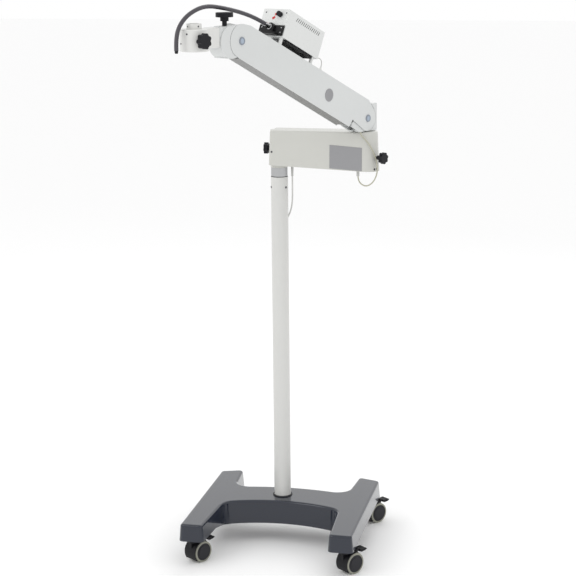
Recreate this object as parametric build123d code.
from build123d import *
import math
import os

# Wheeled floor stand with a swing arm and a counterbalanced parallelogram arm.
# Millimetres. +Z up, origin on the column's axis at the floor, +X along the swing
# arm, -Y towards the front legs.

# Base
BASE_TOP = 157.0
BASE_CENTRE_X = 18.0
SKIRT_Z = 74.0
TIP_SKIRT_Z = 97.0
BASE_HALF = 309.0
FRONT_TIP_Y = -373.0
BACK_TIP_Y = 214.0
BACK_SLANT = 30.0
LEG_INNER = 217.0
LEG_ROOT = 203.0
BASE_WALL = 5.0
BASE_TAPER = 5.0
CHASSIS_Z = 116.0
CHASSIS_THICK = 30.0

# Casters
CASTER_X = 270.0
CASTER_FRONT_Y = -311.0
CASTER_BACK_Y = 185.0
WHEEL_R = 37.5
WHEEL_HUB_R = 31.0
WHEEL_IN = 8.0
WHEEL_OUT = 28.0
PEDAL_X = 47.0
PEDAL_Z = 77.0
TRAIL = 24.0
STEM_R = 5.5
CASTERS = {
    "front_left": (BASE_CENTRE_X - CASTER_X, CASTER_FRONT_Y, 57.0),
    "front_right": (BASE_CENTRE_X + CASTER_X, CASTER_FRONT_Y, 52.0),
    "back_left": (BASE_CENTRE_X - CASTER_X, CASTER_BACK_Y, 38.0),
    "back_right": (BASE_CENTRE_X + CASTER_X, CASTER_BACK_Y, 52.0),
}

# Column
COLUMN_R = 30.0
COLUMN_WALL = 3.0
COLUMN_FOOT_Z = 106.0
COLUMN_TOP_Z = 1324.0
COLLAR_TOP_Z = 1357.0
COLLAR_R = 29.0
SET_SCREW_Z = COLUMN_TOP_Z - 36.0
SET_SCREW_TURNS = (-150, -30, 90)
JOURNAL_R = 20.0
JOURNAL_TOP_Z = 1468.0
RUNNING = 0.05

# Swing arm
SWING_TOP_Z = 1489.0
SWING_LOW_Z = 1344.0
SWING_RIM_LEFT = 1371.0
SWING_RIM_RIGHT = 1350.0
SWING_LEFT = -29.0
SIDE_SCREW_X = -16.0
SIDE_SCREW_Y = 48.2
SIDE_SCREW_Z = 1416.0
SWING_HALF = 51.3
TURRET_X = 300.0
SWING_TAPER = 2.5
SWING_WALL = 3.5
BUSH_R = 24.0
BOSS_R = 30.0
CLAMP_Z = 1422.0
TURRET_CLAMP_Z = 1401.0
TURRET_CLAMP_ANGLE = -28.0
TURRET_KNOB_REACH = 72.0
KNOB_R = 20.0

# Turret and balance arm: the arm's own plan direction is turned ARM_YAW about Z
ARM_YAW = 242.6
ARM_SLOPE = 25.1
PIVOT_X = 18.0
PIVOT_Z = 1535.0
ARM_LENGTH = 706.0
FRONT_X = PIVOT_X + ARM_LENGTH * math.cos(math.radians(ARM_SLOPE))
FRONT_Z = PIVOT_Z + ARM_LENGTH * math.sin(math.radians(ARM_SLOPE))
ARM_HALF = 28.0
PLATE = 3.0
ARM_TOP = 58.0
REAR_R = 43.0
FRONT_R = 52.0
PIN_R = 8.0
LINK_PIN_R = 5.0
OPEN_SLACK = 0.5
LINK_DROP = 28.0
CHEEK_OUT = 23.5
CHEEK_IN = 17.5
BRACKET_LOW = -43.5
BRACKET_TOP = 48.0
BRACKET_BACK = -50.0

# Lamp housing on the balance arm, along and above the arm's centreline
LAMP_BACK = 345.0
LAMP_FRONT = 536.0
LAMP_LOW = 80.0
LAMP_TOP = 173.0
LAMP_NEAR = 34.0
LAMP_FAR = -74.0
LAMP_WALL = 2.0
GUIDE_B = 108.0
GUIDE_Y = -20.0
GUIDE_R = 6.5
DIMMER_B = 154.0
DIMMER_Y = 0.0
VENTS = 14
VENT_START = 372.0
VENT_PITCH = 9.2
VENT_B = 156.0

# Front block and head, measured from the front pivot
NOSE_X = 43.0
NOSE_R = 51.0
BLOCK_FLAT = 47.0
HEAD_LOW = -14.0
HEAD_TOP = 46.0
HEAD_HALF = 23.0
ROLL_Z = 16.0
ROLL_R = 12.0
SEAM_X = 95.0
SLEEVE_X = 183.0
SLEEVE_R = 44.0
SLEEVE_LOW = -20.5
SLEEVE_TOP = 46.5
COLLAR_RING_R = 23.0
COLLAR_RING_TOP = 62.0
SPINDLE_R = 16.0
COLLAR_SCREW_Z = 54.0
COLLAR_TURNS = (-12, 78)
SPLIT_TURN = -100.0
CLAMP_SCREW_X = SLEEVE_X + 23.0
CLAMP_SCREW_Z = 13.0
TILT_KNOB_X = 47.0

# Cords, their outlets and the coil of spare mains cord on the floor
MAINS_R = 2.6
PATCH_R = 2.2
LEAD_R = 1.6
CORD_SLACK = 0.3
GLAND_X = 46.0
SOCKET_X = 282.0
SOCKET_Y = -28.0
OUTLET_X = 32.0
OUTLET_Y = 20.0
LEAD_A = 299.0
LEAD_Y = 18.0
CLEAT_ANGLE = 100.0
CLEAT_REACH = COLUMN_R + 2.0 + MAINS_R
CLEAT_HEIGHTS = (240, 520, 800, 1080)
COIL_X = 38.0
COIL_Y = 178.0
COIL_R = 29.5
COIL_HALF = 9.5
PLUG_X = 88.0
PLUG_Y = 210.0
PLUG_Z = 8.0

# Light guide, in plan about the rear pivot: forward, towards the near side, height
GUIDE_ROUTE = (
    (478, -20, 1878), (510, -20, 1893), (582, -19, 1916), (673, -16, 1935), (759, -12, 1946),
    (835, -8, 1926), (881, -5, 1893), (897, -4, 1854), (896, -4, 1820),
)
# Lamp lead, along the arm, across it and above its centreline
LEAD_ROUTE = ((345, 18, 88), (331, 18, 90), (309, 18, 94), (299, 18, 80), (299, 18, 66))
MAINS_RUN = (
    (46, 0, 1345), (46, 0, 1307), (45.5, 3, 1272), (43.5, 10, 1240), (38, 20.5, 1212),
    (28, 30.5, 1186), (14, 36.5, 1162), (2, 37, 1136), (-6, 34.1, 1108), (-6, 34.1, 210),
    (-6, 37.2, 188.2), (-5, 47.8, 171.2), (-3, 62.7, 161.1), (0, 78.5, 158.3), (2, 90.7, 148),
    (4, 98.2, 129.5), (5, 101, 103.5), (5.5, 102.5, 77), (6, 106, 52), (7, 114, 28),
    (8, 129, 10.5), (6.5, 146, 4.2), (4.5, 158, 3.4),
)
MAINS_TAIL = ((52, 214.5, 8), (75, 211, 8), (98, 210, 8))
PATCH_RUN = (
    (294.8, -53.6, 1497), (294.8, -53.6, 1482), (306, -57, 1472), (322, -54, 1454), (336, -46, 1428),
    (346, -38, 1398), (351, -33, 1366), (347, -33, 1337), (332, -33, 1312), (311, -32, 1301),
    (292, -30, 1309), (282, -28, 1325), (282, -28, 1344),
)
CORDS = {
    "mains_cord": ((MAINS_RUN, MAINS_TAIL), MAINS_R),
    "patch_cord": ((PATCH_RUN,), PATCH_R),
}


def in_plan(shape):
    """Place a shape drawn about the turret's axis, x forward along the arm."""
    return Pos(TURRET_X, 0, 0) * Rot(0, 0, ARM_YAW) * shape


def at_pivot(shape):
    """Place a level shape drawn about the rear pivot."""
    return in_plan(Pos(PIVOT_X, 0, PIVOT_Z) * shape)


def on_arm(shape):
    """Place a shape drawn along the balance arm's centreline from the rear pivot."""
    return at_pivot(Rot(0, -ARM_SLOPE, 0) * shape)


def at_front(shape):
    """Place a level shape drawn about the front pivot."""
    return in_plan(Pos(FRONT_X, 0, FRONT_Z) * shape)


def box(x0, x1, y0, y1, z0, z1):
    """A box between two corners."""
    centre = Pos((x0 + x1) / 2, (y0 + y1) / 2, (z0 + z1) / 2)
    return centre * Box(x1 - x0, y1 - y0, z1 - z0)


def rod_z(x, y, z0, z1, r):
    """A vertical cylinder."""
    return Pos(x, y, (z0 + z1) / 2) * Cylinder(r, z1 - z0)


def rod_x(y, z, x0, x1, r):
    """A cylinder along X."""
    return Pos((x0 + x1) / 2, y, z) * Rot(0, 90, 0) * Cylinder(r, x1 - x0)


def rod_y(x, z, y0, y1, r):
    """A cylinder along Y."""
    return Pos(x, (y0 + y1) / 2, z) * Rot(90, 0, 0) * Cylinder(r, y1 - y0)


def slab_y(wire, y0, y1):
    """An outline drawn in x and z, given thickness from y0 to y1."""
    face = Plane.XZ * make_face(wire)
    return Pos(0, y1, 0) * extrude(face, y1 - y0, dir=(0, -1, 0))


def outline(*points):
    """A closed outline of straight sides."""
    return Polyline(*points, close=True)


def star_knob(radius, thick, stem, stem_r):
    """A seven-lobed knob on +Z with its threaded stem along -Z from the head."""
    lobe = radius * 0.27
    plan = Circle(radius * 0.84)
    for i in range(7):
        turn = math.radians(360 / 7 * i)
        reach = radius - lobe
        plan += Pos(reach * math.cos(turn), reach * math.sin(turn)) * Circle(lobe)
    head = extrude(plan, thick)
    neck = Pos(0, 0, -3) * Cylinder(radius * 0.5, 6)
    return head + neck + Pos(0, 0, -stem / 2) * Cylinder(stem_r, stem)


def base_outline():
    """The H plan at the skirt, with bowed front and back edges between the legs."""
    front = ThreePointArc((-LEG_ROOT, -124), (0, -81), (LEG_ROOT, -124))
    right = Polyline(
        (LEG_ROOT, -124), (LEG_INNER, FRONT_TIP_Y), (BASE_HALF, FRONT_TIP_Y),
        (BASE_HALF, BACK_TIP_Y), (LEG_INNER, BACK_TIP_Y + BACK_SLANT), (LEG_ROOT, 58),
    )
    back = ThreePointArc((LEG_ROOT, 58), (0, 84), (-LEG_ROOT, 58))
    left = Polyline(
        (-LEG_ROOT, 58), (-LEG_INNER, BACK_TIP_Y + BACK_SLANT), (-BASE_HALF, BACK_TIP_Y),
        (-BASE_HALF, FRONT_TIP_Y), (-LEG_INNER, FRONT_TIP_Y), (-LEG_ROOT, -124),
    )
    plan = make_face(front + right + back + left)
    roots = [v for v in plan.vertices() if abs(abs(v.X) - LEG_ROOT) < 1]
    plan = fillet(roots, 44)
    tips = [v for v in plan.vertices() if v.Y < FRONT_TIP_Y + 1 or v.Y > BACK_TIP_Y - 1]
    return fillet(tips, 20)


def base_housing():
    """Drafted H-shaped shell, open underneath, its skirt raised over the casters."""
    plan = base_outline()
    shell = extrude(plan, BASE_TOP - SKIRT_Z, taper=BASE_TAPER)
    shell = fillet(shell.faces().sort_by(Axis.Z)[-1].edges(), 9)
    inner = extrude(offset(plan, -BASE_WALL), BASE_TOP - BASE_WALL - SKIRT_Z, taper=BASE_TAPER)
    shell = Pos(0, 0, SKIRT_Z) * (shell - inner)
    front = outline((-400, 0), (-400, TIP_SKIRT_Z), (-226, TIP_SKIRT_Z), (-122, SKIRT_Z), (-122, 0))
    back = outline((34, 0), (34, SKIRT_Z), (62, TIP_SKIRT_Z), (270, TIP_SKIRT_Z), (270, 0))
    shell -= extrude(Plane.YZ * make_face(front), 400, both=True)
    rise = extrude(Plane.YZ * make_face(back), 400, both=True)
    shell -= rise - box(-LEG_ROOT, LEG_ROOT, -400, 400, 0, TIP_SKIRT_Z + 1)
    for side in (-1, 1):
        inner, outer = sorted((side * LEG_INNER, side * 400))
        shell -= box(inner, outer, -400, 400, 0, TIP_SKIRT_Z)
    shell = Pos(BASE_CENTRE_X, 0, 0) * shell
    return shell - rod_z(0, 0, BASE_TOP - 20, BASE_TOP + 20, COLUMN_R + 1)


def ballast_frame():
    """Steel H frame that carries the casters and the column and holds the stand down."""
    low = CHASSIS_Z
    high = CHASSIS_Z + CHASSIS_THICK
    frame = box(-CASTER_X, CASTER_X, -58, 50, low, high)
    for side in (-1, 1):
        inner, outer = sorted((side * (CASTER_X - 28), side * (CASTER_X + 22)))
        frame += box(inner, outer, -344, CASTER_BACK_Y + 19, low, high)
    frame = Pos(BASE_CENTRE_X, 0, 0) * frame
    frame -= rod_z(0, 0, low - 1, high + 1, 36)
    for x, y, _ in CASTERS.values():
        frame -= rod_z(x, y, low - 1, low + 24, STEM_R)
    for x, y in flange_bolts():
        frame -= rod_z(x, y, low - 1, low + 12, 4)
    return frame


def flange_bolts():
    """Places of the four bolts under the column's socket."""
    reach = 48 * math.sqrt(0.5)
    return [(a * reach, b * reach) for a in (-1, 1) for b in (-1, 1)]


def column_socket():
    """Flanged steel sleeve that grips the foot of the column."""
    low = COLUMN_FOOT_Z - 6
    sleeve = rod_z(0, 0, low, BASE_TOP - BASE_WALL - 1, 35.5)
    sleeve += rod_z(0, 0, low, CHASSIS_Z, 62)
    sleeve -= rod_z(0, 0, COLUMN_FOOT_Z, BASE_TOP, COLUMN_R)
    for x, y in flange_bolts():
        sleeve -= rod_z(x, y, low - 1, CHASSIS_Z + 1, 4)
    return sleeve


def column_tube():
    """Steel column tube with three tapped holes near its top."""
    tube = rod_z(0, 0, COLUMN_FOOT_Z, COLUMN_TOP_Z, COLUMN_R)
    tube -= rod_z(0, 0, COLUMN_FOOT_Z - 1, COLUMN_TOP_Z + 1, COLUMN_R - COLUMN_WALL)
    for turn in SET_SCREW_TURNS:
        tube -= Rot(0, 0, turn) * rod_x(0, SET_SCREW_Z, 20, 40, 4)
    return tube


def column_journal():
    """Turned plug in the column with the bare collar and the swing arm's journal."""
    plug = rod_z(0, 0, COLUMN_TOP_Z - 60, COLUMN_TOP_Z, COLUMN_R - COLUMN_WALL)
    plug += rod_z(0, 0, COLUMN_TOP_Z, COLUMN_TOP_Z + 2.5, COLLAR_R - 2)
    plug += rod_z(0, 0, COLUMN_TOP_Z + 2.5, COLLAR_TOP_Z, COLLAR_R)
    plug += rod_z(0, 0, COLLAR_TOP_Z, JOURNAL_TOP_Z, JOURNAL_R)
    for turn in SET_SCREW_TURNS:
        plug -= Rot(0, 0, turn) * rod_x(0, SET_SCREW_Z, 20, 40, 4)
    return plug


def stand_screws():
    """Four flange bolts under the column and three set screws at its top."""
    screws = []
    for x, y in flange_bolts():
        shank = rod_z(x, y, COLUMN_FOOT_Z - 6, CHASSIS_Z + 11, 4)
        screws.append(shank + rod_z(x, y, COLUMN_FOOT_Z - 14, COLUMN_FOOT_Z - 6, 6.5))
    for turn in SET_SCREW_TURNS:
        screws.append(Rot(0, 0, turn) * rod_x(0, SET_SCREW_Z, 21, 31, 4))
    return screws


def cable_cleats():
    """Small blocks down the back of the column that hold the mains cord."""
    cleats = []
    for z in CLEAT_HEIGHTS:
        cleat = box(CLEAT_REACH - 10, CLEAT_REACH + 5, -5, 5, z - 5, z + 5)
        cleat -= rod_z(CLEAT_REACH, 0, z - 6, z + 6, MAINS_R + CORD_SLACK)
        cleat -= rod_z(0, 0, z - 6, z + 6, COLUMN_R)
        cleats.append(Rot(0, 0, CLEAT_ANGLE) * cleat)
    return cleats


def caster_stems():
    """Four steel caster stems, pressed up into the frame."""
    return [rod_z(x, y, 66, CHASSIS_Z + 22, STEM_R) + rod_z(x, y, 96, 100, 12)
            for x, y, _ in CASTERS.values()]


def at_caster(place, shape):
    """Place a shape drawn about a caster's swivel axis, x towards the trailing side."""
    x, y, turn = place
    return Pos(x, y, 0) * Rot(0, 0, turn) * shape


def ring_y(x, z, y0, y1, outer, inner):
    """A ring about an axis along Y."""
    return rod_y(x, z, y0, y1, outer) - rod_y(x, z, y0 - 1, y1 + 1, inner)


def caster_hood():
    """Plastic hood: a web between the wheels, a cowl over them and the swivel boss."""
    cowl = ring_y(TRAIL, WHEEL_R, -WHEEL_OUT + 1, WHEEL_OUT - 1, 42, 39)
    keep = slab_y(outline((-30, 12), (8, 12), (TRAIL, WHEEL_R), (30, 90), (-30, 90)), -40, 40)
    web = rod_y(TRAIL, WHEEL_R, -6.8, 6.8, 41) & box(-40, 90, -10, 10, 9, 90)
    web += slab_y(outline((-14, 30), (TRAIL, 30), (54, 72), (50, 83), (0, 90), (-16, 90)), -6.8, 6.8)
    hood = web + (cowl & keep) + rod_z(0, 0, 74, 95, 17)
    hood -= rod_y(TRAIL, WHEEL_R, -10, 10, 4 + RUNNING)
    hood -= rod_z(0, 0, 65, 96, STEM_R + RUNNING)
    hood -= rod_y(PEDAL_X, PEDAL_Z, -10, 10, 3)
    for side in (-1, 1):
        hood -= rod_y(TRAIL, WHEEL_R, side * 18.4 - 11.2, side * 18.4 + 11.2, 38.8)
    return hood


def caster_wheels():
    """An axle and two domed hub discs pressed on it."""
    pieces = [rod_y(TRAIL, WHEEL_R, -WHEEL_OUT, WHEEL_OUT, 4)]
    for side in (-1, 1):
        inner, outer = sorted((side * WHEEL_IN, side * (WHEEL_OUT - 1.5)))
        disc = rod_y(TRAIL, WHEEL_R, inner, outer, WHEEL_HUB_R)
        disc += rod_y(TRAIL, WHEEL_R, *sorted((side * 20, side * WHEEL_OUT)), 22)
        pieces.append(disc - rod_y(TRAIL, WHEEL_R, -40, 40, 4))
    return pieces


def caster_treads():
    """Two soft treads moulded round the hub discs."""
    rings = []
    for side in (-1, 1):
        inner, outer = sorted((side * WHEEL_IN, side * WHEEL_OUT))
        ring = ring_y(TRAIL, WHEEL_R, inner, outer, WHEEL_R, WHEEL_HUB_R)
        rims = [e for e in ring.edges().filter_by(GeomType.CIRCLE) if abs(e.radius - WHEEL_R) < 0.1]
        rings.append(fillet(rims, 4))
    return rings


def caster_pedal():
    """Brake pedal: a forked lever on a pin across the web."""
    blade = slab_y(outline((56, 70), (64, 67), (81, 69), (88, 74), (81, 78), (64, 77), (56, 79)), -15, 15)
    pedal = blade + rod_y(PEDAL_X, PEDAL_Z, -11, 11, 3 - RUNNING)
    for side in (-1, 1):
        inner, outer = sorted((side * 7.3, side * 11))
        pedal += rod_y(PEDAL_X, PEDAL_Z, inner, outer, 5.5)
        pedal += slab_y(outline((46, 72.5), (58, 71), (58, 79), (46, 82)), inner, outer)
    return pedal


def swing_outline(grow):
    """The swing arm's plan at its lower rim: square at the column, round at the turret."""
    half = SWING_HALF + grow
    left = SWING_LEFT - grow
    line = Polyline((TURRET_X, half), (left, half), (left, -half), (TURRET_X, -half))
    plan = make_face(line + ThreePointArc((TURRET_X, -half), (TURRET_X + half, 0), (TURRET_X, half)))
    return fillet([v for v in plan.vertices() if v.X < 0], 12 + grow)


def swing_under(lift):
    """Everything below the swing arm's sloping lower rim."""
    left_z = SWING_RIM_LEFT + lift
    right_z = SWING_RIM_RIGHT + lift
    return slab_y(outline((-60, 1300), (-60, left_z), (400, right_z), (400, 1300)), -90, 90)


def clamp_hole(reach, radius):
    """The turret clamp's radial hole."""
    hole = rod_x(0, TURRET_CLAMP_Z, 10, reach, radius)
    return Pos(TURRET_X, 0, 0) * Rot(0, 0, TURRET_CLAMP_ANGLE) * hole


def swing_housing():
    """Cast swing-arm housing with its column boss and turret boss, open underneath."""
    tall = SWING_TOP_Z - SWING_LOW_Z
    shell = extrude(swing_outline(0), tall, taper=SWING_TAPER)
    shell = fillet(shell.faces().sort_by(Axis.Z)[-1].edges(), 7)
    shell -= extrude(swing_outline(-SWING_WALL), tall - SWING_WALL, taper=SWING_TAPER)
    shell = Pos(0, 0, SWING_LOW_Z) * shell
    shell -= swing_under(0)
    shell += rod_z(0, 0, COLLAR_TOP_Z + 0.4, SWING_TOP_Z - 2, BOSS_R)
    shell += rod_z(TURRET_X, 0, 1366, SWING_TOP_Z - 2, BOSS_R)
    shell += box(-26, 0, -2, 2, 1380, SWING_TOP_Z - 2)
    shell += box(22, 276, -2, 2, 1462, SWING_TOP_Z - 2)
    shell -= rod_z(0, 0, 1300, JOURNAL_TOP_Z + 2, BUSH_R)
    shell -= rod_z(TURRET_X, 0, 1300, SWING_TOP_Z + 1, BUSH_R)
    shell -= rod_x(0, CLAMP_Z, -60, -15, 4.3)
    shell -= rod_y(SIDE_SCREW_X, SIDE_SCREW_Z, -60, 60, 3.4)
    return shell - clamp_hole(70, 4.3)


def swing_floor():
    """Sheet cover that closes the swing arm underneath."""
    plate = extrude(swing_outline(-SWING_WALL - 1.4), 60)
    plate = Pos(0, 0, SWING_LOW_Z) * plate
    plate -= swing_under(1)
    plate &= swing_under(3.5)
    plate -= rod_z(0, 0, 1300, 1500, BOSS_R + 0.3)
    plate -= rod_z(TURRET_X, 0, 1365.5, 1500, BOSS_R + 0.5)
    plate -= rod_z(GLAND_X, 0, 1300, 1500, 5)
    for x, y, _ in floor_screws():
        plate -= rod_z(x, y, 1300, 1500, 3.4)
    return plate - rod_z(SOCKET_X, SOCKET_Y, 1300, 1500, 5)


def swing_bushes():
    """Plain bearing bushes of the column journal and the turret shaft."""
    column = rod_z(0, 0, COLLAR_TOP_Z + 1, JOURNAL_TOP_Z, BUSH_R)
    column -= rod_z(0, 0, 1300, 1500, JOURNAL_R + RUNNING)
    column -= rod_x(0, CLAMP_Z, -60, -15, 4.3)
    turret = rod_z(TURRET_X, 0, 1372, SWING_TOP_Z - 1, BUSH_R)
    turret -= rod_z(TURRET_X, 0, 1300, 1500, JOURNAL_R + RUNNING)
    return [column, turret - clamp_hole(70, 4.3)]


def power_supply():
    """Lamp power supply block inside the swing arm."""
    return box(84, 236, -34, 34, 1376, 1440)


def floor_screws():
    """Places of the floor's four screws: x, y and the height of the floor's underside."""
    slope = (SWING_RIM_LEFT - SWING_RIM_RIGHT) / 460
    return [(x, y, SWING_RIM_LEFT + 1 - slope * (x + 60)) for x in (70, 240) for y in (-34, 34)]


def swing_screws():
    """Cover screws of the swing arm: one in each side and four in the floor."""
    screws = []
    for side in (-1, 1):
        inner, outer = sorted((side * (SIDE_SCREW_Y - 5), side * (SIDE_SCREW_Y + 0.8)))
        screws.append(rod_y(SIDE_SCREW_X, SIDE_SCREW_Z, inner, outer, 3.4))
    for x, y, low in floor_screws():
        screws.append(rod_z(x, y, low - 1.5, low + 3, 3.4))
    return screws


def cord_glands():
    """Tapered strain relief of the mains cord and the socket of the lamp's patch cord."""
    gland = Pos(GLAND_X, 0, 1347) * Rot(180, 0, 0) * Cone(4.9, MAINS_R + 1.1, 42)
    socket = rod_z(SOCKET_X, SOCKET_Y, 1336, 1362, 5)
    gland -= rod_z(GLAND_X, 0, 1320, 1345, MAINS_R + CORD_SLACK)
    return [gland, socket - rod_z(SOCKET_X, SOCKET_Y, 1330, 1344, PATCH_R)]


def column_knob():
    """Star knob that clamps the swing arm on the column's journal."""
    knob = star_knob(KNOB_R, 14, 17, 4)
    return Pos(-38, 0, CLAMP_Z) * Rot(0, -90, 0) * knob


def turret_knob():
    """Star knob that clamps the turret's shaft."""
    knob = Pos(TURRET_KNOB_REACH, 0, TURRET_CLAMP_Z) * Rot(0, 90, 0) * star_knob(KNOB_R, 15, 49, 4)
    knob += rod_x(0, TURRET_CLAMP_Z, TURRET_KNOB_REACH - 14, TURRET_KNOB_REACH, 7.5)
    return Pos(TURRET_X, 0, 0) * Rot(0, 0, TURRET_CLAMP_ANGLE) * knob


def turret_bracket():
    """Turret: a shaft in the swing arm below a U-shaped bracket that holds the pivots."""
    profile = outline(
        (BRACKET_BACK, BRACKET_LOW), (40, BRACKET_LOW), (84, -20), (82, -8),
        (30, 26), (10, 44), (BRACKET_BACK, 44),
    )
    bracket = slab_y(profile, -CHEEK_OUT, CHEEK_OUT)
    floor = BRACKET_LOW + 7
    bracket -= slab_y(outline((-46, floor), (100, floor), (100, 44.5), (-46, 44.5)), -CHEEK_IN, CHEEK_IN)
    bracket -= box(12, 100, -7, 7, BRACKET_LOW - 1, floor + 1)
    pads = outline((BRACKET_BACK, BRACKET_LOW), (0, BRACKET_LOW), (0, 0), (-33, 30),
                   (-20, BRACKET_TOP), (BRACKET_BACK, BRACKET_TOP))
    pads = slab_y(pads, -ARM_HALF, ARM_HALF) - rod_y(0, 0, -40, 40, REAR_R + 1)
    bracket += pads
    for z, r in ((0, PIN_R), (-LINK_DROP, LINK_PIN_R), (LINK_DROP, LINK_PIN_R)):
        bracket -= rod_y(0, z, -40, 40, r)
    bracket -= rod_z(OUTLET_X, OUTLET_Y, BRACKET_LOW - 1, BRACKET_LOW + 6, PATCH_R + CORD_SLACK)
    shaft = rod_z(-PIVOT_X, 0, 1375 - PIVOT_Z, BRACKET_LOW + 4, JOURNAL_R)
    return at_pivot(bracket + shaft)


def turret_pins():
    """Rear pivot pins: the arm's, the tie rod's and the balance spring's."""
    main = rod_y(0, 0, -ARM_HALF + 0.2, ARM_HALF - 0.2, PIN_R)
    tie = rod_y(0, -LINK_DROP, -CHEEK_OUT, CHEEK_OUT, LINK_PIN_R)
    spring = rod_y(0, LINK_DROP, -CHEEK_OUT, CHEEK_OUT, LINK_PIN_R)
    return [at_pivot(pin) for pin in (main, tie, spring)]


def plate_outline():
    """The balance arm's side plate: round ends about both pivots, cut away over the turret."""
    front = ARM_LENGTH
    top_turn = math.radians(75)
    low_turn = math.radians(-80)
    nose_top = (front + FRONT_R * math.cos(top_turn), FRONT_R * math.sin(top_turn))
    nose_low = (front + FRONT_R * math.cos(low_turn), FRONT_R * math.sin(low_turn))
    heel_low = (REAR_R * math.sin(math.radians(8)), -REAR_R * math.cos(math.radians(8)))
    heel_top = (-REAR_R * math.sin(math.radians(20)), REAR_R * math.cos(math.radians(20)))
    nose = ThreePointArc(nose_top, (front + FRONT_R, 0), nose_low)
    under = Polyline(nose_low, (86, -60), (78, -32), heel_low)
    heel = ThreePointArc(heel_low, (-REAR_R, 0), heel_top)
    top = Polyline(heel_top, (20, ARM_TOP), (front - 18, ARM_TOP), nose_top)
    return nose + under + heel + top


def arm_shell():
    """Balance-arm channel: two side plates under a top web."""
    shell = slab_y(plate_outline(), -ARM_HALF, ARM_HALF)
    inner = ARM_HALF - PLATE
    shell -= box(-80, ARM_LENGTH + 80, -inner, inner, -80, ARM_TOP - PLATE)
    front_cut = box(ARM_LENGTH - 12, ARM_LENGTH + 80, -inner, inner, 0, ARM_TOP + 5)
    rear_cut = box(-80, 24, -inner, inner, 0, ARM_TOP + 5)
    shell -= front_cut + rear_cut
    shell += box(470, 476, -inner, inner, 4, ARM_TOP - PLATE)
    shell -= rod_x(0, 25.4, 465, 480, 5)
    for x in (0, ARM_LENGTH):
        shell -= rod_y(x, 0, -40, 40, PIN_R + RUNNING)
    return on_arm(shell)


def arm_pan():
    """Removable cover under the balance arm."""
    pan = slab_y(outline((96, -59), (690, -51.3), (690, -48.8), (96, -56.5)), -24.6, 24.6)
    for side in (-1, 1):
        inner, outer = sorted((side * 22.6, side * 24.6))
        pan += slab_y(outline((96, -57), (650, -50), (650, -40), (96, -47)), inner, outer)
    return on_arm(pan)


def bolt_caps():
    """Caps over the ends of both pivot bolts."""
    caps = []
    for x in (0, ARM_LENGTH):
        for side in (-1, 1):
            inner, outer = sorted((side * ARM_HALF, side * (ARM_HALF + 2.5)))
            caps.append(on_arm(rod_y(x, 0, inner, outer, 11)))
    return caps


def balance_spring():
    """Spring unit: a closed coil between two seats on its pull rod."""
    coil = rod_x(0, 25.4, 260, 470, 17) - rod_x(0, 25.4, 255, 475, 8)
    rod = rod_x(0, 25.4, 24, 462, 4) + rod_x(0, 25.4, 248, 259.5, 16)
    return [on_arm(coil), on_arm(rod)]


def tie_rod():
    """Parallel link that keeps the front block level."""
    reach = ARM_LENGTH
    link = rod_x(0, 0, 0, reach, 5)
    for x in (0, reach):
        link += rod_y(x, 0, -6, 6, 7)
    for x, slack in ((0, RUNNING), (reach, OPEN_SLACK)):
        link -= rod_y(x, 0, -20, 20, LINK_PIN_R + slack)
    return at_pivot(Pos(0, 0, -LINK_DROP) * Rot(0, -ARM_SLOPE, 0) * link)


def vent(x, b, y0, y1):
    """One slanted vent slot through a lamp housing wall."""
    slot = Rot(0, -24, 0) * Box(3.2, y1 - y0, 15)
    return Pos(x, (y0 + y1) / 2, b) * slot


def lamp_housing():
    """Sheet-metal lamp case on four feet, with vents along both upper sides."""
    case = box(LAMP_BACK, LAMP_FRONT, LAMP_FAR, LAMP_NEAR, LAMP_LOW, LAMP_TOP)
    case = fillet(case.edges().filter_by(Axis.X), 2.5)
    case -= box(LAMP_BACK + LAMP_WALL, LAMP_FRONT - LAMP_WALL, LAMP_FAR + LAMP_WALL,
                LAMP_NEAR - LAMP_WALL, LAMP_LOW - 1, LAMP_TOP - LAMP_WALL)
    for i in range(VENTS):
        for wall in (LAMP_NEAR, LAMP_FAR):
            case -= vent(VENT_START + VENT_PITCH * i, VENT_B, wall - 5, wall + 5)
    case -= rod_x(LEAD_Y, LAMP_LOW + 8, LAMP_BACK - 5, LAMP_BACK + 5, LEAD_R)
    case -= rod_x(GUIDE_Y, GUIDE_B, LAMP_FRONT - 5, LAMP_FRONT + 5, 9)
    case -= rod_x(DIMMER_Y, DIMMER_B, LAMP_FRONT - 5, LAMP_FRONT + 5, 3.5)
    for x in (LAMP_BACK + 14, LAMP_FRONT - 10):
        for y in (-20, 20):
            case += rod_z(x, y, ARM_TOP, LAMP_LOW + 4, 6)
            case += box(x - 9, x + 9, y - 8, y + 8, LAMP_LOW, LAMP_LOW + 4)
    for x in (LAMP_BACK + 5, LAMP_FRONT - 19):
        case += box(x, x + 18, LAMP_FAR, LAMP_NEAR, LAMP_LOW, LAMP_LOW + 2)
    return on_arm(case)


def lamp_grille():
    """Dark slotted heat shield under the lamp case."""
    shield = box(LAMP_BACK + 26, LAMP_FRONT - 24, LAMP_FAR + 4, LAMP_NEAR - 4, LAMP_LOW - 9, LAMP_LOW - 6)
    for side in (LAMP_FAR + 4, LAMP_NEAR - 7):
        shield += box(LAMP_BACK + 26, LAMP_FRONT - 24, side, side + 3, LAMP_LOW - 9, LAMP_LOW + 6)
    for i in range(13):
        x = LAMP_BACK + 36 + 10.6 * i
        shield -= box(x, x + 5, LAMP_FAR + 12, LAMP_NEAR - 12, LAMP_LOW - 12, LAMP_LOW)
        for side in (LAMP_FAR + 2, LAMP_NEAR - 9):
            shield -= box(x, x + 5, side, side + 7, LAMP_LOW - 5, LAMP_LOW + 3)
    return on_arm(shield)


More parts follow.
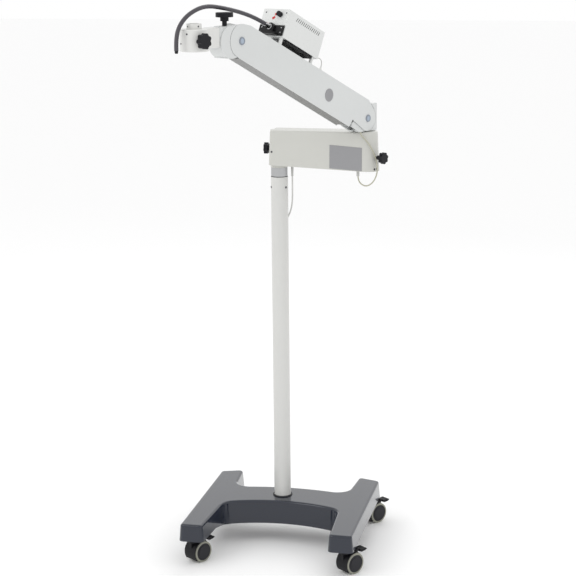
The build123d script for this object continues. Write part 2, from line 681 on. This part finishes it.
def lamp_module():
    """Lamp and reflector block behind the light guide's port."""
    block = box(478, 520, -46, 6, 86, 134)
    block -= rod_x(GUIDE_Y, GUIDE_B, 500, 530, 18)
    return on_arm(block + rod_x(GUIDE_Y, GUIDE_B, 498, 506, 6))


def guide_bracket():
    """Black port plate across the lamp's front with the light guide's clamp ring."""
    plate = box(LAMP_FRONT, LAMP_FRONT + 4, -70, 30, 84, 118)
    plate += box(LAMP_FRONT, LAMP_FRONT + 20, -52, 12, 84, 90)
    plate += rod_x(GUIDE_Y, GUIDE_B, LAMP_FRONT, LAMP_FRONT + 12, 15)
    plate += box(LAMP_FRONT + 4, LAMP_FRONT + 12, -34, -6, 86, 108)
    for y in (-60, 20):
        plate -= rod_x(y, 110, LAMP_FRONT - 1, LAMP_FRONT + 5, 2.5)
        plate -= rod_x(y, 94, LAMP_FRONT - 1, LAMP_FRONT + 5, 2.5)
    plate -= rod_x(GUIDE_Y, GUIDE_B, LAMP_FRONT - 1, LAMP_FRONT + 30, 9)
    return on_arm(plate)


def guide_plug():
    """Bright ferrule of the light guide, seated in the port."""
    plug = rod_x(GUIDE_Y, GUIDE_B, 508, LAMP_FRONT + 16, 9)
    plug += rod_x(GUIDE_Y, GUIDE_B, LAMP_FRONT + 16, LAMP_FRONT + 42, 8)
    return on_arm(plug - rod_x(GUIDE_Y, GUIDE_B, LAMP_FRONT + 33, LAMP_FRONT + 50, GUIDE_R))


def dimmer_knob():
    """Lamp dimmer knob with its spindle."""
    knob = rod_x(DIMMER_Y, DIMMER_B, LAMP_FRONT + 1, LAMP_FRONT + 14, 8.5)
    return on_arm(knob + rod_x(DIMMER_Y, DIMMER_B, LAMP_FRONT - 12, LAMP_FRONT + 1, 3.4))


def lead_plug():
    """Connector of the lamp's lead on the arm's top."""
    body = rod_z(LEAD_A, LEAD_Y, ARM_TOP, ARM_TOP + 3, 6.5)
    body += Pos(LEAD_A, LEAD_Y, ARM_TOP + 7) * Cone(4.5, 2.8, 8)
    return on_arm(body - rod_z(LEAD_A, LEAD_Y, ARM_TOP + 8, ARM_TOP + 30, LEAD_R))


def front_block():
    """Level front block: a tongue in the arm, a round nose and the roll bearing."""
    block = rod_y(0, 0, -24.5, 24.5, 49)
    nose = rod_y(NOSE_X, 0, -27, 27, NOSE_R)
    nose += box(20, 66, -27, 27, -49, BLOCK_FLAT)
    block += nose - rod_y(0, 0, -40, 40, FRONT_R + 1)
    block += box(10, 60, -24.5, 24.5, -44, 40)
    block += box(NOSE_X, SEAM_X, -HEAD_HALF, HEAD_HALF, HEAD_LOW, HEAD_TOP)
    block -= box(-100, 200, -60, 60, BLOCK_FLAT, 90)
    block -= box(-60, 12, -10, 10, -60, -14)
    block -= rod_x(0, ROLL_Z, 30, SEAM_X + 5, ROLL_R + RUNNING)
    block -= rod_z(TILT_KNOB_X, 0, ROLL_Z, 80, 6.2)
    block -= rod_y(0, 0, -40, 40, PIN_R)
    return at_front(block - rod_y(0, -LINK_DROP, -40, 40, LINK_PIN_R))


def front_pins():
    """Front pivot pins of the arm and of the tie rod."""
    main = rod_y(0, 0, -ARM_HALF + 0.2, ARM_HALF - 0.2, PIN_R)
    tie = rod_y(0, -LINK_DROP, -24.5, 24.5, LINK_PIN_R)
    return [at_front(pin) for pin in (main, tie)]


def head_arm():
    """Head arm: roll shaft, square arm and the split sleeve for the spindle."""
    arm = box(SEAM_X + 0.8, SLEEVE_X, -HEAD_HALF, HEAD_HALF, HEAD_LOW, HEAD_TOP)
    arm = fillet(arm.edges().filter_by(Axis.X), 4)
    arm += rod_x(0, ROLL_Z, 34, SEAM_X + 5, ROLL_R)
    sleeve = rod_z(SLEEVE_X, 0, SLEEVE_LOW, SLEEVE_TOP, SLEEVE_R)
    arm += fillet(sleeve.edges().filter_by(GeomType.CIRCLE), 4)
    arm -= rod_z(SLEEVE_X, 0, -60, 90, SPINDLE_R)
    arm -= Pos(SLEEVE_X, 0, 0) * Rot(0, 0, SPLIT_TURN) * box(10, 60, -0.8, 0.8, -60, 90)
    for screw in sleeve_screws():
        arm -= screw
    return at_front(arm - rod_y(CLAMP_SCREW_X, CLAMP_SCREW_Z, -60, 60, 4.2))


def sleeve_screws():
    """Two small screws in the sleeve's wall."""
    return [Pos(SLEEVE_X, 0, 0) * Rot(0, 0, turn) * rod_x(0, z, SLEEVE_R - 5, SLEEVE_R + 1, 2.6)
            for turn, z in ((14, 33), (-20, 4))]


def sleeve_collar():
    """Ring on top of the sleeve that carries the spindle's weight."""
    ring = rod_z(SLEEVE_X, 0, SLEEVE_TOP, COLLAR_RING_TOP, COLLAR_RING_R)
    ring = fillet(ring.edges().filter_by(GeomType.CIRCLE), 1.2)
    ring -= rod_z(SLEEVE_X, 0, 0, 90, SPINDLE_R)
    for turn in COLLAR_TURNS:
        ring -= Pos(SLEEVE_X, 0, 0) * Rot(0, 0, turn) * rod_x(0, COLLAR_SCREW_Z, 14, 30, 2.6)
    return at_front(ring)


def head_screws():
    """Set screws in the collar and in the sleeve's wall."""
    screws = []
    for turn in COLLAR_TURNS:
        screw = rod_x(0, COLLAR_SCREW_Z, 17, 23.4, 2.6)
        screws.append(at_front(Pos(SLEEVE_X, 0, 0) * Rot(0, 0, turn) * screw))
    return screws + [at_front(screw) for screw in sleeve_screws()]


def roll_knob():
    """Lobed hand knob on the nose that clamps the head's roll."""
    head = rod_z(0, 0, 74, 88, 27) & Pos(0, 0, 81) * Sphere(27.4)
    knob = head + rod_z(0, 0, 62, 76, 13) + rod_z(0, 0, BLOCK_FLAT + 1, 63, 7.5)
    knob += rod_z(0, 0, ROLL_Z + ROLL_R + 1, BLOCK_FLAT + 2, 6)
    return at_front(Pos(TILT_KNOB_X, 0, 0) * knob)


def sleeve_knob():
    """Star knob and tangent screw that close the sleeve on the spindle."""
    knob = Rot(-90, 0, 0) * star_knob(24, 18, 84, 4)
    return at_front(Pos(CLAMP_SCREW_X, 52, CLAMP_SCREW_Z) * knob)


def tube(name, points, radius):
    """A round cord: straight runs joined by the largest tangent arcs their lengths allow."""
    route = [Vector(*p) for p in points]
    radii = []
    for before, here, after in zip(route, route[1:], route[2:]):
        turn = math.radians((here - before).get_angle(after - here))
        shorter = min((here - before).length, (after - here).length)
        radii.append(0.45 * shorter / math.tan(turn / 2))
    path = FilletPolyline(*route, radius=radii)
    start = Plane(origin=route[0], z_dir=(route[1] - route[0]))
    solid = sweep(start * Circle(radius), path)
    share = solid.volume / (math.pi * radius**2 * path.length)
    print(name, "length", round(path.length), "volume share", round(share, 4))
    print(name, "radii", [round(r) for r in radii])
    return solid


def plan_route(points):
    """Points given about the rear pivot in plan, with their own heights, in the stand's frame."""
    origin = Location((TURRET_X, 0, 0), (0, 0, ARM_YAW)) * Location((PIVOT_X, 0, 0))
    return [(origin * Location(p)).position for p in points]


def light_guide():
    """Fibre light guide: out of the lamp's port, over the block and down before the sleeve."""
    return tube("light_guide", plan_route(GUIDE_ROUTE), GUIDE_R)


def guide_ferrule():
    """Metal tip of the light guide."""
    route = plan_route(GUIDE_ROUTE)
    end = Plane(origin=route[-1], z_dir=route[-1] - route[-2])
    return end * (rod_z(0, 0, 0, 5, 5.5) + rod_z(0, 0, 5, 8, 4.5))


def lamp_lead():
    """Thin lead from the back of the lamp case to the connector on the arm."""
    arm = Location((TURRET_X, 0, 0), (0, 0, ARM_YAW)) * Location((PIVOT_X, 0, PIVOT_Z), (0, -ARM_SLOPE, 0))
    route = [(arm * Location(p)).position for p in LEAD_ROUTE]
    return tube("lamp_lead", route, LEAD_R)


def mains_coil():
    """Spare mains cord wound into one round coil on the floor."""
    ring = rod_z(COIL_X, COIL_Y, 0, 2 * COIL_HALF, COIL_R + COIL_HALF)
    ring -= rod_z(COIL_X, COIL_Y, -1, 2 * COIL_HALF + 1, COIL_R - COIL_HALF)
    return fillet(ring.edges().filter_by(GeomType.CIRCLE), 3)


def mains_plug():
    """Plain two-pin mains plug with its tapered strain relief."""
    relief = Pos(PLUG_X + 12, PLUG_Y, PLUG_Z) * Rot(0, 90, 0) * Cone(MAINS_R + 1, 5.5, 24)
    body = box(PLUG_X + 24, PLUG_X + 56, PLUG_Y - 12, PLUG_Y + 12, 0, 2 * PLUG_Z)
    body = fillet(body.edges().filter_by(Axis.X), 5)
    plug = relief + body
    for side in (-1, 1):
        plug += rod_x(PLUG_Y + 9.5 * side, PLUG_Z, PLUG_X + 55, PLUG_X + 74, 2)
    return plug - rod_x(PLUG_Y, PLUG_Z, PLUG_X - 1, PLUG_X + 10, MAINS_R)


def route_cord(name):
    """Tube of one of the two cords whose routes are given in the stand's own frame."""
    routes, radius = CORDS[name]
    return [tube(name, route, radius) for route in routes]


def at_every_caster(name, make):
    """One node for each caster from a part drawn about the caster's swivel axis."""
    nodes = {}
    for place in CASTERS:
        made = make()
        pieces = made if isinstance(made, list) else [made]
        nodes[f"{name}_{place}"] = [at_caster(CASTERS[place], piece) for piece in pieces]
    return nodes


def write_node(name, shape):
    """Write one sub-part, a single solid or a list of solids, as a STEP file."""
    solids = []
    for piece in shape if isinstance(shape, list) else [shape]:
        solids += piece.solids()
    whole = solids[0] if len(solids) == 1 else Compound(children=solids)
    export_step(whole, f"parts/{name}.step")


def stand_nodes():
    """Every sub-part by its node name."""
    single = (
        base_housing, ballast_frame, column_socket, column_tube, column_journal, stand_screws,
        cable_cleats, caster_stems, mains_coil, mains_plug, swing_housing, swing_floor, swing_bushes,
        power_supply, swing_screws, cord_glands, column_knob, turret_knob, turret_bracket, turret_pins,
        arm_shell, arm_pan, bolt_caps, balance_spring, tie_rod, lamp_housing, lamp_grille, lamp_module,
        guide_bracket, guide_plug, dimmer_knob, lead_plug, lamp_lead, front_block, front_pins,
        light_guide, guide_ferrule, head_arm, sleeve_collar, head_screws, roll_knob, sleeve_knob,
    )
    nodes = {make.__name__: make() for make in single}
    for name in CORDS:
        nodes[name] = route_cord(name)
    for make in (caster_hood, caster_wheels, caster_treads, caster_pedal):
        nodes.update(at_every_caster(make.__name__, make))
    return nodes


os.makedirs("parts", exist_ok=True)
for node, shape in stand_nodes().items():
    write_node(node, shape)
